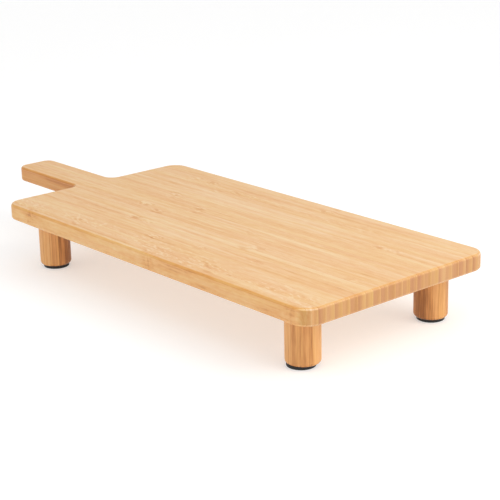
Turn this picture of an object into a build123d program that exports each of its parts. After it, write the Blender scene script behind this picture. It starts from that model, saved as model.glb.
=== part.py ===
"""Footed serving and cutting board of laminated bamboo, with a straight paddle handle.

The board is a flat panel of bamboo strips glued side by side on edge. The middle strips run on past the
body of the board and make the handle. Four round legs, each turned from a glued bamboo blank, are held
against the underside by a wood screw that goes up through the leg. A stick-on rubber pad covers the screw
and is the foot.

Millimetres. +Z is up, and Z 0 is the surface that the board stands on. X runs along the board, with the
handle at -X, and Y across it. The origin is under the middle of the whole length.
"""

from build123d import *
import os

# Board
BODY_LENGTH = 400.0
BODY_WIDTH = 200.0
THICKNESS = 14.5
HANDLE_LENGTH = 106.0
HANDLE_WIDTH = 38.5
CORNER_RADIUS = 15.0
HANDLE_END_RADIUS = 9.5
NECK_RADIUS = 9.0
EDGE_ROUNDING = 2.5

# Bamboo strips: all planed to one width, and the glued panel is then trimmed at both long edges
STRIP_WIDTH = 8.0
FIRST_STRIP_WIDTH = 4.6

# Legs
LEG_DIAMETER = 28.0
LEG_LENGTH = 42.0
LEG_FOOT_ROUNDING = 3.0
LEG_INSET_X = 34.5
LEG_INSET_Y = 29.0

# Rubber pads
PAD_DIAMETER = 23.0
PAD_THICKNESS = 2.5
PAD_EDGE_ROUNDING = 0.6

# Wood screws, 4 x 40 pan head
SCREW_DIAMETER = 4.0
SCREW_CORE_DIAMETER = 2.8
SCREW_LENGTH = 40.0
SCREW_THREAD_LENGTH = 24.0
SCREW_TIP_LENGTH = 4.0
THREAD_PITCH = 1.8
HEAD_DIAMETER = 8.0
HEAD_HEIGHT = 2.6
HEAD_CROWN = 0.8
RECESS_SPAN = 4.4
RECESS_WIDTH = 1.0
RECESS_DEPTH = 1.6

# Holes for the screws
COUNTERBORE_DIAMETER = 9.5
COUNTERBORE_DEPTH = 12.5
CLEARANCE_DIAMETER = 4.5
PILOT_DIAMETER = 4.1
PILOT_EXTRA_DEPTH = 0.6

# How far each blank was turned before its leg was screwed on, and how far off centre its pad was stuck
LEG_TURNS = {"front_left": -37.0, "front_right": -33.0, "back_right": -52.0, "back_left": 20.0}
PAD_SHIFTS = {
    "front_left": (0.2, 0.2),
    "front_right": (-0.9, -1.0),
    "back_right": (-0.2, 0.3),
    "back_left": (0.4, -0.2),
}

# Worked out from the sizes above
TOTAL_LENGTH = BODY_LENGTH + HANDLE_LENGTH
UNDERSIDE = PAD_THICKNESS + LEG_LENGTH
TOP = UNDERSIDE + THICKNESS
HANDLE_END = -TOTAL_LENGTH / 2
SHOULDER = HANDLE_END + HANDLE_LENGTH
PLAIN_END = TOTAL_LENGTH / 2
HEAD_SEAT = PAD_THICKNESS + COUNTERBORE_DEPTH
LEG_PLACES = {
    "front_left": (SHOULDER + LEG_INSET_X, -BODY_WIDTH / 2 + LEG_INSET_Y),
    "front_right": (PLAIN_END - LEG_INSET_X, -BODY_WIDTH / 2 + LEG_INSET_Y),
    "back_right": (PLAIN_END - LEG_INSET_X, BODY_WIDTH / 2 - LEG_INSET_Y),
    "back_left": (SHOULDER + LEG_INSET_X, BODY_WIDTH / 2 - LEG_INSET_Y),
}


def board_outline():
    """The board seen from above: a rectangle with a narrow handle, every corner rounded."""
    body = Pos((SHOULDER + PLAIN_END) / 2, 0) * Rectangle(BODY_LENGTH, BODY_WIDTH)
    handle = Pos((HANDLE_END + SHOULDER) / 2, 0) * Rectangle(HANDLE_LENGTH, HANDLE_WIDTH)
    outline = body + handle

    def corners(x, y):
        return [v for v in outline.vertices() if abs(v.X - x) < 0.01 and abs(abs(v.Y) - y) < 0.01]

    handle_corners = (HANDLE_END, HANDLE_WIDTH / 2)
    neck_corners = (SHOULDER, HANDLE_WIDTH / 2)
    outline = fillet(corners(*handle_corners), HANDLE_END_RADIUS)
    outline = fillet(corners(*neck_corners), NECK_RADIUS)
    outer_corners = corners(SHOULDER, BODY_WIDTH / 2) + corners(PLAIN_END, BODY_WIDTH / 2)
    return fillet(outer_corners, CORNER_RADIUS)


def board_panel():
    """The whole glued panel, routed to its outline, with rounded edges and the four pilot holes."""
    panel = Pos(0, 0, UNDERSIDE) * extrude(board_outline(), THICKNESS)
    rims = panel.faces().sort_by(Axis.Z)[0].edges() + panel.faces().sort_by(Axis.Z)[-1].edges()
    panel = fillet(rims, EDGE_ROUNDING)
    depth = HEAD_SEAT + SCREW_LENGTH + PILOT_EXTRA_DEPTH - UNDERSIDE
    for x, y in LEG_PLACES.values():
        panel -= Pos(x, y, UNDERSIDE + depth / 2) * Cylinder(PILOT_DIAMETER / 2, depth)
    return panel


def strip_edges():
    """The places across the board of the glue lines, with the board's own two edges."""
    edges = [-BODY_WIDTH / 2]
    line = -BODY_WIDTH / 2 + FIRST_STRIP_WIDTH
    while line < BODY_WIDTH / 2:
        edges.append(line)
        line += STRIP_WIDTH
    return edges + [BODY_WIDTH / 2]


def board_strips():
    """Each strip of the panel, from the front edge to the back, as {name: solid}."""
    panel = board_panel()
    edges = strip_edges()
    strips = {}
    for number, (low, high) in enumerate(zip(edges, edges[1:]), start=1):
        slab = Pos(0, (low + high) / 2, (UNDERSIDE + TOP) / 2) * Box(2 * TOTAL_LENGTH, high - low, 2 * THICKNESS)
        strips[f"board_strip_{number:02d}"] = panel & slab
    return strips


def leg_blank():
    """A turned leg standing on Z 0, with its foot rounded, the clearance hole and the counterbore."""
    blank = Pos(0, 0, LEG_LENGTH / 2) * Cylinder(LEG_DIAMETER / 2, LEG_LENGTH)
    blank = fillet(blank.edges().sort_by(Axis.Z)[0], LEG_FOOT_ROUNDING)
    blank -= Pos(0, 0, LEG_LENGTH / 2) * Cylinder(CLEARANCE_DIAMETER / 2, LEG_LENGTH)
    return blank - Pos(0, 0, COUNTERBORE_DEPTH / 2) * Cylinder(COUNTERBORE_DIAMETER / 2, COUNTERBORE_DEPTH)


def leg_strips(name):
    """The strips that one leg's blank was glued from, the middle one centred on the leg."""
    place = Pos(*LEG_PLACES[name], PAD_THICKNESS) * Rot(0, 0, LEG_TURNS[name])
    blank = leg_blank()
    half = LEG_DIAMETER / 2
    lines = [-half, -1.5 * STRIP_WIDTH, -0.5 * STRIP_WIDTH, 0.5 * STRIP_WIDTH, 1.5 * STRIP_WIDTH, half]
    strips = {}
    for number, (low, high) in enumerate(zip(lines, lines[1:]), start=1):
        slab = Pos(0, (low + high) / 2, LEG_LENGTH / 2) * Box(2 * LEG_DIAMETER, high - low, 2 * LEG_LENGTH)
        strips[f"leg_{name}_strip_{number}"] = place * (blank & slab)
    return strips


def pad(name):
    """The rubber foot under one leg, with its lower edge rounded."""
    x, y = LEG_PLACES[name]
    shift_x, shift_y = PAD_SHIFTS[name]
    disc = Pos(0, 0, PAD_THICKNESS / 2) * Cylinder(PAD_DIAMETER / 2, PAD_THICKNESS)
    disc = fillet(disc.edges().sort_by(Axis.Z)[0], PAD_EDGE_ROUNDING)
    return Pos(x + shift_x, y + shift_y, 0) * disc


def screw():
    """A pan-head wood screw standing point up, with the underside of its head at Z 0."""
    core = SCREW_CORE_DIAMETER / 2
    outer = SCREW_DIAMETER / 2
    shank_end = SCREW_LENGTH - SCREW_THREAD_LENGTH
    thread_end = SCREW_LENGTH - SCREW_TIP_LENGTH
    profile = Polyline(
        (0, -HEAD_HEIGHT),
        (HEAD_DIAMETER / 2 - HEAD_CROWN, -HEAD_HEIGHT),
        (HEAD_DIAMETER / 2, -HEAD_HEIGHT + HEAD_CROWN),
        (HEAD_DIAMETER / 2, 0),
        (core, 0),
        (core, thread_end),
        (0, SCREW_LENGTH),
        close=True,
    )
    body = revolve(Plane.XZ * make_face(profile), Axis.Z)
    for turn in (0, 90):
        bar = Rot(0, 0, turn) * Box(RECESS_SPAN, RECESS_WIDTH, RECESS_DEPTH)
        body -= Pos(0, 0, -HEAD_HEIGHT + RECESS_DEPTH / 2) * bar
    return body + thread(core, outer, shank_end, thread_end)


def thread(core, outer, start, end):
    """The screw's thread: one triangular ridge wound round the core."""
    root = 0.9 * core
    path = Helix(THREAD_PITCH, end - start, root, center=(0, 0, start))
    base = 0.55 * THREAD_PITCH
    at_start = Plane(origin=path @ 0, x_dir=(1, 0, 0), z_dir=path % 0)
    ridge = Polyline((0, -base / 2), (outer - root, 0), (0, base / 2), close=True)
    return sweep(at_start * make_face(ridge), path, is_frenet=True)


def leg_screws():
    """All four screws, each with its head in the counterbore of its leg."""
    one = screw()
    return Compound([Pos(x, y, HEAD_SEAT) * one for x, y in LEG_PLACES.values()])


def main():
    nodes = board_strips()
    for name in LEG_PLACES:
        nodes.update(leg_strips(name))
        nodes[f"pad_{name}"] = pad(name)
    nodes["leg_screws"] = leg_screws()
    os.makedirs("parts", exist_ok=True)
    for name, shape in nodes.items():
        export_step(shape, f"parts/{name}.step")


main()
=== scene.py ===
"""The looks of the footed bamboo board: procedural materials on the CAD nodes, floor, lights and camera.

Metres, in the row's frame: +X along the board away from its handle, +Y across it, +Z up.
"""

import math
import random

import bpy
from mathutils import Matrix, Vector


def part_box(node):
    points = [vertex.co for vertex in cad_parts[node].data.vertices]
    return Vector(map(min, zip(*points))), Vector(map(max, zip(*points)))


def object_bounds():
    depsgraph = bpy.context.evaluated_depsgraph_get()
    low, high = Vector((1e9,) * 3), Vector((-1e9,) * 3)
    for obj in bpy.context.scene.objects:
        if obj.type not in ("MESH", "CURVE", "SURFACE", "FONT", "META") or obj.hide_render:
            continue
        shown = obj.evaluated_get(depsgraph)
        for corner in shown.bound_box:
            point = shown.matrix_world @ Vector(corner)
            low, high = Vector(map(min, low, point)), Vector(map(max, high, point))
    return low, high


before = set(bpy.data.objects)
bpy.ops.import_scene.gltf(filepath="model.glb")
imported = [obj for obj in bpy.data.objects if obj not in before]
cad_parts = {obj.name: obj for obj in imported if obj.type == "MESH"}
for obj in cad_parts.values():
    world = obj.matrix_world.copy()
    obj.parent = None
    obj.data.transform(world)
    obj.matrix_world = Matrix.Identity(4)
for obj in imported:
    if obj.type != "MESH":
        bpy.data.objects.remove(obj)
cad_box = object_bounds()

# Bamboo as glued: strips stand on edge, so the wall of the cane runs across each strip
STRIP_WIDTH = 0.008
BOARD_STRIPS = sorted(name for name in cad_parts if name.startswith("board_strip_"))
BOARD_TOP = cad_box[1].z

# Where the board's body ends and its handle starts, along X. The handle's routed sides fade out round this
# place, and its richer rims along a stretch of the body.
HANDLE_LENGTH = 0.106
SHOULDER = cad_box[0].x + HANDLE_LENGTH
ROUTED_FADE = (SHOULDER - 0.003, SHOULDER + 0.004)
RICH_RIM_FADE = (SHOULDER, SHOULDER + 0.117)

# The legs, and how many degrees the strips of each are turned about Z
LEG_NAMES = ("front_left", "front_right", "back_right", "back_left")
LEG_TURNS = {"front_left": -37.0, "front_right": -33.0, "back_right": -52.0, "back_left": 20.0}
LEG_STRIPS = 5
MIDDLE_STRIP = 3

# How dark each strip of a leg is at its low side and at its high side: the strips' own tone, with painted
# shade where a leg's side faces in under the board, most on front_left and back_right
LEG_TONES_AND_SHADE = {
    "front_left": ((0.62, 0.58), (0.60, 0.72), (0.92, 0.80), (1.10, 1.46), (1.45, 1.30)),
    "front_right": ((0.54, 0.62), (0.84, 0.98), (0.76, 0.96), (0.66, 0.80), (0.60, 0.48)),
    "back_right": ((1.40, 1.30), (1.10, 1.16), (1.12, 0.70), (0.84, 0.68), (0.74, 0.70)),
    "back_left": ((0.45, 0.50), (0.35, 0.45), (0.60, 0.50), (0.40, 0.50), (0.50, 0.50)),
}
LEG_CONTRAST = 0.95

# The grain of a leg is drawn this many times longer along the leg, and as many times finer across it
LEG_STRETCH = 2.0

# Where joints of the cane cross each board strip, along X, and how strong each is. Others are clear wood.
KNUCKLES = {
    1: ((-0.107, 1.0), (0.068, 1.0), (0.236, 0.5)),
    2: ((-0.046, 0.8), (0.137, 0.8)),
    3: ((-0.053, 0.9), (0.124, 1.1)),
    4: ((0.205, 0.4),),
    5: ((0.033, 1.5),),
    6: ((0.084, 0.7),),
    7: ((0.142, 0.6),),
    8: ((-0.025, 1.1), (-0.004, 1.1)),
    9: ((0.111, 0.7),),
    10: ((0.119, 0.9), (0.228, 0.4)),
    11: ((-0.025, 0.9),),
    12: ((-0.053, 1.4),),
    13: ((0.085, 0.5),),
    14: ((0.001, 0.8),),
    15: ((-0.002, 0.9),),
    16: ((-0.051, 0.7),),
    17: ((-0.058, 1.4),),
    19: ((0.187, 1.1), (0.205, 0.5)),
    20: ((-0.090, 0.25),),
    21: ((-0.039, 0.4),),
    22: ((-0.018, 0.7), (0.005, 0.8), (0.143, 0.35)),
    23: ((-0.086, 0.6), (-0.060, 0.9), (0.140, 0.35)),
    24: ((0.084, 0.9),),
    25: ((0.088, 0.6), (0.030, 0.4)),
    26: ((-0.070, 0.4),),
}
MOST_KNUCKLES = 3

# A place far off the board with no strength stands in where a strip has fewer joints
NO_KNUCKLE = (9.0, 0.0)

# How ragged a joint is, from where to where it fades out, and how its flecks lean across the fibres
JOINT_WANDER = 0.024
JOINT_FADE = (0.001, 0.012)
FLECK_SLANT = 0.18

# How far fibres stray sideways in clear wood, and how much further in a joint or a curl
PLAIN_SWERVE = 0.0006
FIGURED_SWERVE = 0.0052

# How curly the fibres are in the strips that aren't straight-grained
CURL = {1: 0.15, 2: 0.9, 3: 1.0, 4: 0.6, 22: 0.3}

# Lines along single strips: where the dark one lies (0 at the strip's front side, 1 at its back), how
# strong it is, and the same for the pale one
LINES = {
    4: (0.30, 0.3, 0.80, 0.2),
    5: (0.10, 0.5, 0.60, 0.2),
    6: (0.50, 0.9, 0.95, 0.1),
    7: (0.95, 0.2, 0.40, 0.6),
    8: (0.20, 0.6, 0.80, 0.8),
    9: (0.15, 0.9, 0.70, 0.3),
    11: (0.45, 0.7, 0.90, 0.2),
    12: (0.30, 0.4, 0.80, 0.3),
    13: (0.65, 0.9, 0.10, 0.2),
    14: (0.05, 0.1, 0.60, 1.0),
    16: (0.00, 0.4, 0.70, 0.2),
    17: (0.50, 0.4, 0.90, 0.2),
    19: (0.15, 0.9, 0.80, 1.0),
    20: (0.25, 0.6, 0.80, 0.2),
    21: (0.70, 0.2, 0.10, 0.5),
    22: (0.50, 0.3, 0.90, 0.3),
    23: (1.00, 0.4, 0.50, 0.4),
    24: (0.00, 0.8, 0.60, 0.3),
}
LINE_PUSH = {"Dark": 0.27, "Pale": -0.27}

# The front strip shows its whole side, so it has its own tone, and clear rings where a joint crosses it
FRONT_STRIP = {"Ring": 0.24, "Fleck": 0.35, "Tone": 0.41, "Contrast": 1.1}

# Colours of the wood from its palest to its darkest, linear. The last is at a darkness of DARKEST.
MIDDLE_TONE = 0.36
TONE_SPREAD = 0.07
DARKEST = 1.3
WOOD_COLOURS = (
    (0.00, (0.845, 0.560, 0.255)),
    (0.27, (0.810, 0.480, 0.185)),
    (0.54, (0.760, 0.390, 0.125)),
    (0.77, (0.600, 0.265, 0.075)),
    (1.00, (0.310, 0.118, 0.025)),
)

# What a kind of face or mark does to the colour of the wood, by channel
# The flat faces' tint is a painted sheen, paler and less orange
PAINTED_SHEEN_TINT = (1.0, 1.09, 1.375)
EDGE_TINT = (0.96, 0.875, 0.68)
END_TINT = (0.732, 0.653, 0.498)
DARK_END_TINT = (0.88, 0.90, 1.08)
# The corner rims' tint is a painted highlight, paler
PAINTED_HIGHLIGHT_TINT = (1.10, 1.36, 2.0)
KNUCKLE_TINT = (0.90, 0.76, 0.65)
ROUTED_TINT = (0.86, 0.735, 0.59)
PINK_TINT = (1.0, 0.98, 1.045)
PINK_END_TINT = (0.97, 0.92, 1.21)

# Streaks from broad bands of tone to single fibres: how often each repeats in a metre along and across
# the grain, its noise's detail and roughness, and how hard it pushes the wood darker or paler
STREAKS = {
    "broad": (5.0, 70.0, 1.0, 0.5, 1.0),
    "streak": (13.0, 250.0, 2.0, 0.6, 0.75),
    "fibre": (24.0, 1300.0, 2.0, 0.6, 0.40),
    "short": (48.0, 330.0, 2.0, 0.6, 0.70),
    "dash": (110.0, 460.0, 2.0, 0.6, 0.65),
}
CALMED_STREAKS = ("short", "dash")

# The inputs of the bamboo group: the place in the cane, the kind of face, and the numbers of its cane
PLACE_INPUTS = ("Along", "Across", "Depth", "Wall")
FACE_INPUTS = ("Painted sheen", "Rim", "Edge", "Painted highlight", "Cut", "End grain", "Routed")
LINE_INPUTS = ("Dark at", "Dark", "Pale at", "Pale")
CANE_INPUTS = ("Seed", "Tone", "Slope", "Pink", "Curl", "Ring", "Fleck", "Contrast") + LINE_INPUTS
KNUCKLE_INPUTS = tuple((f"Knuckle {i + 1}", f"Strength {i + 1}") for i in range(MOST_KNUCKLES))

# How far each unit of a strip's seed moves its pattern along, across and in depth
SEED_STEP = (0.71, 1.31, 0.57)

WHITE = (1.0, 1.0, 1.0)

# The floor: where it starts to curve up, the flat ring just before that, and the curve's radius, degrees
# and number of steps
FLOOR_RADIUS = 6.0
FLAT_RING = 0.1
SWEEP = 2.5
SWEEP_ANGLE = 80.0
SWEEP_STEPS = 16
FLOOR_SIDES = 96

# The camera: degrees round from the front, up from the floor and of roll, metres, and its lens in mm
CAMERA_AZIMUTH = 49.21
CAMERA_ELEVATION = 17.89
CAMERA_ROLL = -1.22
CAMERA_DISTANCE = 1.1937
CAMERA_TARGET = Vector((0.0848, -0.0059, 0.045))
CAMERA_LENS = 102.54
SENSOR_WIDTH = 36.0


class Nodes:
    """Shorthand for building one node tree: each method adds its nodes and returns an output or a node."""

    def __init__(self, tree):
        self.tree = tree

    def add(self, kind, **settings):
        node = self.tree.nodes.new(kind)
        for key, value in settings.items():
            setattr(node, key, value)
        return node

    def put(self, socket, value):
        """Link the socket to another node's output, or set it to a plain value."""
        if isinstance(value, bpy.types.NodeSocket):
            self.tree.links.new(value, socket)
        else:
            socket.default_value = value

    def math(self, operation, *values):
        node = self.add("ShaderNodeMath", operation=operation)
        for socket, value in zip(node.inputs, values):
            self.put(socket, value)
        return node.outputs[0]

    def product(self, first, *others):
        for other in others:
            first = self.math("MULTIPLY", first, other)
        return first

    def total(self, first, *pushes):
        """first, with each push's value times its weight added to it."""
        for value, weight in pushes:
            first = self.math("MULTIPLY_ADD", value, weight, first)
        return first

    def combine(self, x, y, z):
        node = self.add("ShaderNodeCombineXYZ")
        for socket, value in zip(node.inputs, (x, y, z)):
            self.put(socket, value)
        return node.outputs[0]

    def separate(self, vector):
        node = self.add("ShaderNodeSeparateXYZ")
        self.put(node.inputs[0], vector)
        return node.outputs

    def vector(self, operation, *values):
        node = self.add("ShaderNodeVectorMath", operation=operation)
        for socket, value in zip(node.inputs, values):
            self.put(socket, value)
        return node.outputs[0]

    def stretched(self, place, along_scale, across_scale, layered=0.35):
        """The grain shrunk for a texture: long along the fibres, and in layers parallel to the wall."""
        return self.vector("MULTIPLY", place, (along_scale, across_scale, across_scale * layered))

    def fade(self, value, low, high, start=0.0, end=1.0, smooth=True):
        """start up to low, end from high on, and a blend between them."""
        node = self.add("ShaderNodeMapRange", interpolation_type="SMOOTHSTEP" if smooth else "LINEAR")
        for socket, number in zip(node.inputs, (value, low, high, start, end)):
            self.put(socket, number)
        return node.outputs[0]

    def noise(self, vector, detail=2.0, roughness=0.5, coloured=False):
        """A noise between 0 and 1, or three of them as a colour."""
        node = self.add("ShaderNodeTexNoise")
        node.inputs["Scale"].default_value = 1.0
        self.put(node.inputs["Vector"], vector)
        self.put(node.inputs["Detail"], detail)
        self.put(node.inputs["Roughness"], roughness)
        return node.outputs["Color" if coloured else 0]

    def cells(self, vector):
        """How far the place is from the nearest of many scattered points."""
        node = self.add("ShaderNodeTexVoronoi")
        node.inputs["Scale"].default_value = 1.0
        self.put(node.inputs["Vector"], vector)
        return node.outputs["Distance"]

    def ramp(self, value, stops):
        node = self.add("ShaderNodeValToRGB")
        self.put(node.inputs[0], value)
        elements = node.color_ramp.elements
        while len(elements) < len(stops):
            elements.new(0.5)
        for element, (place, colour) in zip(elements, stops):
            element.position = place
            element.color = (*colour, 1.0)
        return node.outputs[0]

    def tint(self, factor, first, second, blend="MIX"):
        node = self.add("ShaderNodeMix", data_type="RGBA", blend_type=blend)
        self.put(node.inputs[0], factor)
        self.put(node.inputs[6], first)
        self.put(node.inputs[7], second)
        return node.outputs[2]

    def stain(self, colour, amount, rgb):
        """The colour times rgb, as far as the amount goes from 0 to 1."""
        return self.tint(amount, colour, self.tint(1.0, colour, (*rgb, 1.0), "MULTIPLY"))

    def bump(self, height, strength, distance):
        node = self.add("ShaderNodeBump")
        node.inputs["Strength"].default_value = strength
        node.inputs["Distance"].default_value = distance
        self.put(node.inputs["Height"], height)
        return node.outputs["Normal"]


def cane_joints(n, given, place):
    """How strongly a joint of the cane shows: a ragged band across the strip at each of its joints."""
    ragged = n.noise(n.stretched(place, 90.0, 240.0, layered=1.0), detail=3.0)
    wander = n.product(n.math("SUBTRACT", ragged, 0.5), JOINT_WANDER)
    shifted = n.math("ADD", given["Along"], wander)
    knuckle = 0.0
    for at, strength in KNUCKLE_INPUTS:
        distance = n.math("ABSOLUTE", n.math("SUBTRACT", shifted, given[at]))
        band = n.product(n.fade(distance, *JOINT_FADE, 1.0, 0.0), given[strength])
        knuckle = n.math("MAXIMUM", knuckle, band)
    return knuckle


def bend_fibres(n, place, figure):
    """The place moved a little to each side, most of all where the figure is strong."""
    swerve = n.noise(n.stretched(place, 75.0, 150.0), coloured=True)
    swerve = n.vector("SUBTRACT", swerve, (0.5, 0.5, 0.5))
    size = n.total(PLAIN_SWERVE, (figure, FIGURED_SWERVE))
    return n.vector("ADD", place, n.vector("MULTIPLY", swerve, n.combine(0.0, size, size)))


def cane_lines(n, given, place):
    """How far a dark line and a pale line along the strip, broken here and there, push the wood."""
    broken = n.fade(n.noise(n.stretched(place, 11.0, 20.0)), 0.40, 0.60, 0.35, 1.0)
    both = 0.0
    for shade, push in LINE_PUSH.items():
        aside = n.math("ABSOLUTE", n.math("SUBTRACT", given["Wall"], given[f"{shade} at"]))
        line = n.product(n.fade(aside, 0.02, 0.30, push, 0.0), given[shade])
        both = n.total(both, (line, broken))
    return both


def wall_shading(n, given):
    """The darkness before any marks: the wall of the cane shades from its skin to its pith.

    Where it's cut across, this and the tone of the strip show the most. On the legs, tone and slope also
    carry painted shade.
    """
    shading = n.product(given["Slope"], n.total(1.0, (given["End grain"], 4.5)))
    unusual = n.math("SUBTRACT", given["Tone"], MIDDLE_TONE)
    unusual = n.product(unusual, n.total(1.0, (given["End grain"], 1.5)))
    shaded = n.total(unusual, (n.math("SUBTRACT", 0.5, given["Wall"]), shading))
    return n.math("ADD", shaded, MIDDLE_TONE)


def all_streaks(n, given, streaks):
    """How far the streaks push the wood. Routed sides show only the long ones, and show them clearly."""
    calm = n.total(1.0, (given["Routed"], -0.75))
    together = 0.0
    for name, value in streaks.items():
        weight = STREAKS[name][-1]
        if name in CALMED_STREAKS:
            weight = n.product(calm, weight)
        together = n.total(together, (n.math("SUBTRACT", value, 0.5), weight))
    contrast = n.product(
        given["Contrast"],
        n.total(1.0, (given["End grain"], -0.55)),
        n.total(1.0, (given["Routed"], 1.2)),
    )
    return n.product(together, contrast)


def wood_colour(n, given, darkness, dark_fleck, broad, pinkish):
    """The darkness as a colour, stained by the kind of face.

    Flat faces get a painted sheen, paler and less orange; sanded edges are richer; corner rims get a pale
    painted highlight; end grain drinks more oil; joints are redder.
    """
    colour = n.ramp(n.math("DIVIDE", darkness, DARKEST), WOOD_COLOURS)
    cut_grain = n.product(given["Cut"], given["End grain"])
    pink_end = n.total(n.fade(given["Wall"], 0.25, 0.75, 0.6, 0.0), (given["Pink"], 0.6))
    stains = (
        # Painted sheen on the flat faces
        (given["Painted sheen"], PAINTED_SHEEN_TINT),
        (n.product(given["Edge"], n.fade(broad, 0.35, 0.65, 0.6, 1.3)), EDGE_TINT),
        (given["Routed"], ROUTED_TINT),
        # Painted highlight on the corner rims
        (given["Painted highlight"], PAINTED_HIGHLIGHT_TINT),
        (given["Cut"], END_TINT),
        (n.product(n.fade(darkness, 0.15, 0.75), cut_grain), DARK_END_TINT),
        (dark_fleck, KNUCKLE_TINT),
        (n.fade(pinkish, 0.38, 0.62), PINK_TINT),
        (n.product(pink_end, cut_grain), PINK_END_TINT),
    )
    for amount, rgb in stains:
        colour = n.stain(colour, amount, rgb)
    return colour


def bamboo_group():
    """Bamboo seen in grain coordinates, shared by every strip. Lengths are metres.

    Along is the way the fibres run, Across is through the wall of the cane and Depth is round the cane.
    Wall goes from 0 at the strip's low side to 1 at its high side. The face inputs say how far a face is
    flat and given a painted sheen, a rounded rim, an edge that sanding made richer, given a painted
    highlight on a corner's rim, cut across the fibres so that it takes more oil, seen as end grain, and
    routed. Returns the group.
    """
    tree = bpy.data.node_groups.new("bamboo_grain", "ShaderNodeTree")
    inputs = PLACE_INPUTS + FACE_INPUTS + CANE_INPUTS + sum(KNUCKLE_INPUTS, ())
    for name in inputs:
        tree.interface.new_socket(name, in_out="INPUT", socket_type="NodeSocketFloat")
    tree.interface.new_socket("Color", in_out="OUTPUT", socket_type="NodeSocketColor")
    for name in ("Roughness", "Height"):
        tree.interface.new_socket(name, in_out="OUTPUT", socket_type="NodeSocketFloat")
    n = Nodes(tree)
    given = n.add("NodeGroupInput").outputs

    # Each strip is a different piece of cane, so its pattern is moved by its own seed
    seed = given["Seed"]
    seeded = n.vector("MULTIPLY", n.combine(seed, seed, seed), SEED_STEP)
    place = n.vector("ADD", n.combine(given["Along"], given["Across"], given["Depth"]), seeded)

    # Curly stretches come and go along a strip, and fibres swerve where they pass a joint or curl
    knuckle = cane_joints(n, given, place)
    flecked = n.product(knuckle, given["Fleck"])
    patchy = n.fade(n.noise(n.stretched(place, 14.0, 60.0)), 0.38, 0.56)
    curl = n.product(given["Curl"], patchy)
    bent = bend_fibres(n, place, n.math("MAXIMUM", flecked, curl))

    streaks = {}
    for name, (along_scale, across_scale, detail, roughness, _) in STREAKS.items():
        streaks[name] = n.noise(n.stretched(bent, along_scale, across_scale), detail, roughness)
    bundles = n.fade(n.cells(n.stretched(bent, 5.0, 900.0, layered=1.0)), 0.12, 0.42, 1.0, 0.0)
    pinkish = n.noise(n.stretched(bent, 9.0, 130.0))

    # Short dark and pale strokes within a curl, and flecks of dark and pale wood within a joint
    slanted = n.vector("ADD", bent, n.combine(0.0, n.product(given["Along"], FLECK_SLANT), 0.0))
    stroke = n.noise(n.stretched(slanted, 150.0, 450.0))
    dark_stroke = n.product(n.fade(stroke, 0.52, 0.68), curl)
    pale_stroke = n.product(n.fade(stroke, 0.47, 0.36), curl)
    fleck = n.noise(n.stretched(slanted, 100.0, 290.0, layered=0.8))
    dark_fleck = n.product(n.fade(fleck, 0.48, 0.60), flecked)
    pale_fleck = n.product(n.fade(fleck, 0.46, 0.38), flecked)

    # Fine rings run round the cane at a joint
    rings = n.noise(n.vector("MULTIPLY", bent, (430.0, 60.0, 60.0)))
    ring = n.product(n.total(-1.7, (rings, 5.0)), given["Ring"])

    # The glue line, and the pale inner wall of the cane beside it where it's cut across
    from_glue = n.math("MINIMUM", given["Wall"], n.math("SUBTRACT", 1.0, given["Wall"]))
    glue = n.fade(from_glue, 0.008, 0.03, 1.0, 0.0)
    pith = n.product(n.fade(given["Wall"], 0.80, 0.95), given["End grain"])

    darkness = n.total(
        wall_shading(n, given),
        (all_streaks(n, given, streaks), 1.0),
        (bundles, 0.05),
        (dark_stroke, 0.18),
        (pale_stroke, -0.43),
        (pale_fleck, -0.44),
        (knuckle, ring),
        (given["Routed"], 0.30),
        (cane_lines(n, given, place), 1.0),
        (glue, n.total(0.10, (given["Edge"], 0.9))),
        (pith, -0.30),
    )
    rough = n.total(
        0.40,
        (streaks["fibre"], 0.16),
        (knuckle, 0.05),
        (given["End grain"], 0.10),
        (given["Rim"], -0.30),
    )
    height = n.total(
        0.0,
        (bundles, -0.4),
        (streaks["fibre"], 0.6),
        (streaks["streak"], 0.6),
        (fleck, n.product(knuckle, 0.15)),
        (glue, -0.8),
    )
    out = n.add("NodeGroupOutput")
    n.put(out.inputs["Color"], wood_colour(n, given, darkness, dark_fleck, streaks["broad"], pinkish))
    n.put(out.inputs["Roughness"], rough)
    # Sanding smooths the rims
    n.put(out.inputs["Height"], n.product(height, n.total(1.0, (given["Rim"], -0.85))))
    return tree


def new_material(name):
    """A material with an empty tree and a shader. Returns the material, its nodes and the shader."""
    material = bpy.data.materials.new(name)
    material.use_nodes = True
    material.node_tree.nodes.clear()
    n = Nodes(material.node_tree)
    shader = n.add("ShaderNodeBsdfPrincipled")
    output = n.add("ShaderNodeOutputMaterial")
    n.put(output.inputs["Surface"], shader.outputs["BSDF"])
    return material, n, shader


def facing(n):
    """The way the surface faces as X, Y and Z, how far that is up or down, and how much of a rim it is."""
    outward = n.separate(n.add("ShaderNodeNewGeometry").outputs["Normal"])
    up = n.math("ABSOLUTE", outward[2])
    rim = n.product(n.fade(up, 0.0, 0.35), n.fade(up, 0.85, 0.99, 1.0, 0.0))
    return outward, up, rim


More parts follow.
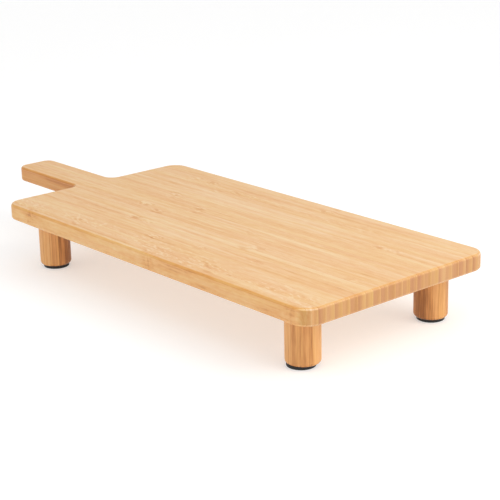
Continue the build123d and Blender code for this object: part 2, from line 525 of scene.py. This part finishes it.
def board_grain(n, low, high):
    """The group's inputs for the places and faces of a board strip that lies from low to high in Y."""
    along, across, height = n.separate(n.add("ShaderNodeTexCoord").outputs["Object"])
    outward, up, rim = facing(n)
    endwise = n.math("ABSOLUTE", outward[0])
    sidewise = n.math("ABSOLUTE", outward[1])
    sideways = n.fade(sidewise, 0.7, 0.95)
    squarely = n.fade(sidewise, 0.30, 0.72, 1.0, 0.15)
    end = n.product(n.fade(endwise, 0.35, 0.80), squarely)

    # The board's upright corners are cut across the fibres too
    corner = n.product(
        n.fade(endwise, 0.25, 0.60), n.fade(sidewise, 0.25, 0.60), n.fade(up, 0.15, 0.60, 0.9, 0.0)
    )
    crosscut = n.total(n.fade(endwise, 0.90, 1.0, 0.0, 0.35), (endwise, 0.65))
    cut = n.math("MAXIMUM", n.product(crosscut, squarely), corner)

    # A painted highlight, pale, on the rims of the corners, the upper rims most
    painted_highlight = n.product(
        n.fade(endwise, 0.15, 0.40),
        n.fade(sidewise, 0.10, 0.30),
        n.fade(up, 0.22, 0.45),
        n.fade(up, 0.60, 0.85, 1.0, 0.0),
        n.fade(outward[2], -0.10, 0.10, 0.4, 1.0),
    )

    # The handle's rims are sanded most, and its sides are routed
    richer = n.fade(along, *RICH_RIM_FADE, 1.9, 1.0)
    on_handle = n.fade(along, *ROUTED_FADE, 1.0, 0.0)

    # The layers of the wall run straight down the ends
    depth = n.product(
        n.math("SUBTRACT", height, BOARD_TOP), n.total(1.0, (end, -0.75)), n.total(1.0, (sideways, 2.0))
    )
    return {
        "Along": along,
        "Across": across,
        "Depth": depth,
        "Wall": n.fade(across, low, high, smooth=False),
        # A painted sheen on the flat faces, and a little of it on the sides
        "Painted sheen": n.total(n.fade(up, 0.93, 0.995), (sideways, 0.1)),
        "Rim": rim,
        "Edge": n.product(rim, n.total(1.0, (endwise, -0.9)), richer),
        "Painted highlight": painted_highlight,
        # The corner rims' painted highlight
        "Cut": cut,
        "End grain": end,
        "Routed": n.product(n.fade(sidewise, 0.40, 0.85), on_handle),
    }


def leg_grain(n, centre, turn, low, high):
    """The group's inputs for a leg strip from low to high across a leg that is turned about its centre."""
    turned = n.add("ShaderNodeVectorRotate", rotation_type="Z_AXIS")
    place = n.add("ShaderNodeTexCoord").outputs["Object"]
    n.put(turned.inputs["Vector"], n.vector("SUBTRACT", place, centre))
    turned.inputs["Angle"].default_value = -turn
    depth, across, height = n.separate(turned.outputs[0])
    _, up, rim = facing(n)
    cut = n.fade(up, 0.55, 0.9)
    return {
        "Along": n.math("DIVIDE", height, LEG_STRETCH),
        "Across": n.product(across, LEG_STRETCH),
        "Depth": n.product(depth, LEG_STRETCH),
        "Wall": n.fade(across, low, high, smooth=False),
        "Painted sheen": 0.0,
        "Rim": rim,
        "Edge": rim,
        "Painted highlight": 0.0,
        "Cut": cut,
        "End grain": cut,
        "Routed": 0.0,
    }


def bamboo(name, group, grain, where, cane, knuckles=()):
    """The material of one strip.

    grain is board_grain or leg_grain, and where holds what it needs to know about the strip. cane holds the
    numbers of the strip's piece of cane, and knuckles says where joints cross it and how strong they are.
    """
    material, n, shader = new_material(name)
    values = {**grain(n, *where), **cane}
    for i, (at, strength) in enumerate(KNUCKLE_INPUTS):
        values[at], values[strength] = knuckles[i] if i < len(knuckles) else NO_KNUCKLE
    grained = n.add("ShaderNodeGroup", node_tree=group)
    for key, value in values.items():
        n.put(grained.inputs[key], value)
    n.put(shader.inputs["Base Color"], grained.outputs["Color"])
    n.put(shader.inputs["Roughness"], grained.outputs["Roughness"])
    n.put(shader.inputs["Normal"], n.bump(grained.outputs["Height"], strength=0.6, distance=0.00018))
    shader.inputs["IOR"].default_value = 1.5
    return material


def cane_numbers(dice, tone_spread):
    """The numbers of one piece of cane: its pattern, tone and lines, and how strong its marks are."""
    return {
        "Seed": dice.uniform(0.0, 40.0),
        "Tone": MIDDLE_TONE + dice.uniform(-tone_spread, tone_spread),
        "Slope": dice.uniform(-0.02, 0.10),
        "Pink": dice.uniform(0.0, 1.0),
        "Curl": 0.0,
        "Dark at": dice.uniform(0.0, 0.4),
        "Dark": dice.uniform(0.0, 0.5),
        "Pale at": dice.uniform(0.6, 1.0),
        "Pale": dice.uniform(0.0, 0.5),
        "Ring": 0.05,
        "Fleck": 1.0,
        "Contrast": 0.80,
    }


def dress(name, material):
    """Give the CAD node this material and no other."""
    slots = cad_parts[name].data.materials
    slots.clear()
    slots.append(material)


def dress_board(group):
    dice = random.Random(11)
    for number, name in enumerate(BOARD_STRIPS, start=1):
        low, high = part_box(name)
        front, back = low.y, high.y
        # The two trimmed strips lost their outer side
        if number == 1:
            front = back - STRIP_WIDTH
        if number == len(BOARD_STRIPS):
            back = front + STRIP_WIDTH
        cane = cane_numbers(dice, TONE_SPREAD)
        cane["Curl"] = CURL.get(number, 0.0)
        if number == 1:
            cane.update(FRONT_STRIP)
        if number in LINES:
            cane.update(zip(LINE_INPUTS, LINES[number]))
        dress(name, bamboo(name, group, board_grain, (front, back), cane, KNUCKLES.get(number, ())))


def dress_legs(group):
    dice = random.Random(5)
    for leg in LEG_NAMES:
        low_corner, high_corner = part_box(f"leg_{leg}_strip_{MIDDLE_STRIP}")
        centre = (low_corner + high_corner) / 2
        centre.z = 0.0
        turn = math.radians(LEG_TURNS[leg])
        for number, (low_side, high_side) in enumerate(LEG_TONES_AND_SHADE[leg], start=1):
            name = f"leg_{leg}_strip_{number}"
            low = (number - 1 - LEG_STRIPS / 2) * STRIP_WIDTH
            cane = cane_numbers(dice, 0.0)
            # On the legs the tone and slope carry painted shade as well as the strip's own tone
            cane["Tone"] = (low_side + high_side) / 2
            cane["Slope"] = low_side - high_side
            cane["Contrast"] = LEG_CONTRAST
            dress(name, bamboo(name, group, leg_grain, (centre, turn, low, low + STRIP_WIDTH), cane))


def rubber():
    """Matt black rubber with a fine grain and a little dust."""
    material, n, shader = new_material("pad_rubber")
    place = n.add("ShaderNodeTexCoord").outputs["Object"]
    grain = n.noise(n.vector("MULTIPLY", place, (1800.0, 1800.0, 1800.0)), detail=3.0)
    dust = n.noise(n.vector("MULTIPLY", place, (160.0, 160.0, 420.0)), detail=3.0)
    shade = n.total(n.product(dust, 0.65), (grain, 0.35))
    colours = ((0.35, (0.010, 0.010, 0.010)), (0.75, (0.030, 0.029, 0.028)))
    n.put(shader.inputs["Base Color"], n.ramp(shade, colours))
    n.put(shader.inputs["Roughness"], n.fade(dust, 0.3, 0.7, 0.62, 0.80))
    n.put(shader.inputs["Normal"], n.bump(grain, strength=0.5, distance=0.00008))
    return material


def zinc_steel():
    """Zinc-plated steel, brighter and duller in small patches."""
    material, n, shader = new_material("screw_steel")
    place = n.add("ShaderNodeTexCoord").outputs["Object"]
    patches = n.noise(n.vector("MULTIPLY", place, (900.0, 900.0, 900.0)), detail=3.0)
    colours = ((0.3, (0.55, 0.54, 0.50)), (0.7, (0.72, 0.71, 0.68)))
    n.put(shader.inputs["Base Color"], n.ramp(patches, colours))
    n.put(shader.inputs["Roughness"], n.fade(patches, 0.3, 0.7, 0.28, 0.42))
    shader.inputs["Metallic"].default_value = 1.0
    return material


def floor_material():
    """White, and glowing a little so that the board's shadow stays light."""
    material, _, shader = new_material("floor")
    shader.inputs["Base Color"].default_value = (0.60, 0.60, 0.60, 1.0)
    shader.inputs["Emission Color"].default_value = (*WHITE, 1.0)
    shader.inputs["Emission Strength"].default_value = 0.46
    shader.inputs["Roughness"].default_value = 0.9
    shader.inputs["Specular IOR Level"].default_value = 0.1
    return material


def make_floor():
    """A round floor whose rim curves up all round, so that a low view sees no horizon."""
    profile = [(FLOOR_RADIUS - FLAT_RING, 0.0)]
    for step in range(SWEEP_STEPS + 1):
        angle = math.radians(SWEEP_ANGLE) * step / SWEEP_STEPS
        profile.append((FLOOR_RADIUS + SWEEP * math.sin(angle), SWEEP * (1.0 - math.cos(angle))))
    corners = []
    for radius, height in profile:
        for i in range(FLOOR_SIDES):
            turn = math.tau * i / FLOOR_SIDES
            corners.append((radius * math.cos(turn), radius * math.sin(turn), height))
    faces = [tuple(range(FLOOR_SIDES))]
    for ring in range(len(profile) - 1):
        start = ring * FLOOR_SIDES
        for i in range(FLOOR_SIDES):
            beside = (i + 1) % FLOOR_SIDES
            faces.append((start + i, start + FLOOR_SIDES + i, start + FLOOR_SIDES + beside, start + beside))
    mesh = bpy.data.meshes.new("studio_floor")
    mesh.from_pydata(corners, [], faces)
    mesh.shade_smooth()
    mesh.materials.append(floor_material())
    floor = bpy.data.objects.new("studio_floor", mesh)
    floor.location.z = cad_box[0].z
    bpy.context.scene.collection.objects.link(floor)


def add_lamp(name, place, target, size, power, colour=WHITE):
    """A rectangular lamp of so many watts that points at its target."""
    lamp = bpy.data.lights.new(name, "AREA")
    lamp.shape = "RECTANGLE"
    lamp.size, lamp.size_y = size
    lamp.energy = power
    lamp.color = colour
    holder = bpy.data.objects.new(name, lamp)
    holder.location = place
    holder.rotation_euler = (Vector(target) - Vector(place)).to_track_quat("-Z", "Y").to_euler()
    bpy.context.scene.collection.objects.link(holder)


def add_diffuser(name, direction, strength, spread):
    """Even light from one direction, as from a diffuser that's spread degrees across."""
    lamp = bpy.data.lights.new(name, "SUN")
    lamp.energy = strength
    lamp.angle = math.radians(spread)
    holder = bpy.data.objects.new(name, lamp)
    holder.rotation_euler = Vector(direction).to_track_quat("Z", "Y").to_euler()
    bpy.context.scene.collection.objects.link(holder)


def make_lights():
    """A soft studio: even light from all round, from above and from the left, and two lamps."""
    world = bpy.data.worlds.new("studio")
    world.use_nodes = True
    background = world.node_tree.nodes["Background"]
    background.inputs["Color"].default_value = (*WHITE, 1.0)
    background.inputs["Strength"].default_value = 0.43
    bpy.context.scene.world = world
    add_diffuser("overhead_diffuser", direction=(0.1, 0.2, 1.0), strength=1.015, spread=100.0)
    add_diffuser("left_diffuser", direction=(-0.50, -0.87, 0.60), strength=0.40, spread=60.0)
    add_lamp(
        "right_softbox",
        place=(1.08, 0.40, 0.85),
        target=(0.15, 0.0, 0.03),
        size=(0.9, 0.8),
        power=7.6,
        colour=(1.0, 0.955, 0.88),
    )
    add_lamp(
        "overhead_lamp", place=(0.56, -0.37, 0.96), target=(0.24, -0.09, 0.05), size=(0.55, 0.07), power=0.8
    )


def make_camera():
    """A low view of the board's front and its right-hand end."""
    azimuth = math.radians(CAMERA_AZIMUTH)
    elevation = math.radians(CAMERA_ELEVATION)
    back = Vector((
        math.sin(azimuth) * math.cos(elevation),
        -math.cos(azimuth) * math.cos(elevation),
        math.sin(elevation),
    ))
    camera = bpy.data.cameras.new("camera")
    camera.sensor_width = SENSOR_WIDTH
    camera.lens = CAMERA_LENS
    camera.clip_start = 0.05
    camera.clip_end = 50.0
    holder = bpy.data.objects.new("camera", camera)
    place = Matrix.Translation(CAMERA_TARGET + back * CAMERA_DISTANCE)
    upright = (-back).to_track_quat("-Z", "Y").to_matrix().to_4x4()
    holder.matrix_world = place @ upright @ Matrix.Rotation(math.radians(CAMERA_ROLL), 4, "Z")
    bpy.context.scene.collection.objects.link(holder)
    bpy.context.scene.camera = holder


def main():
    bpy.context.scene.view_settings.view_transform = "Standard"
    make_camera()
    make_lights()
    make_floor()
    group = bamboo_group()
    dress_board(group)
    dress_legs(group)
    pad_look = rubber()
    for leg in LEG_NAMES:
        dress(f"pad_{leg}", pad_look)
    dress("leg_screws", zinc_steel())


main()
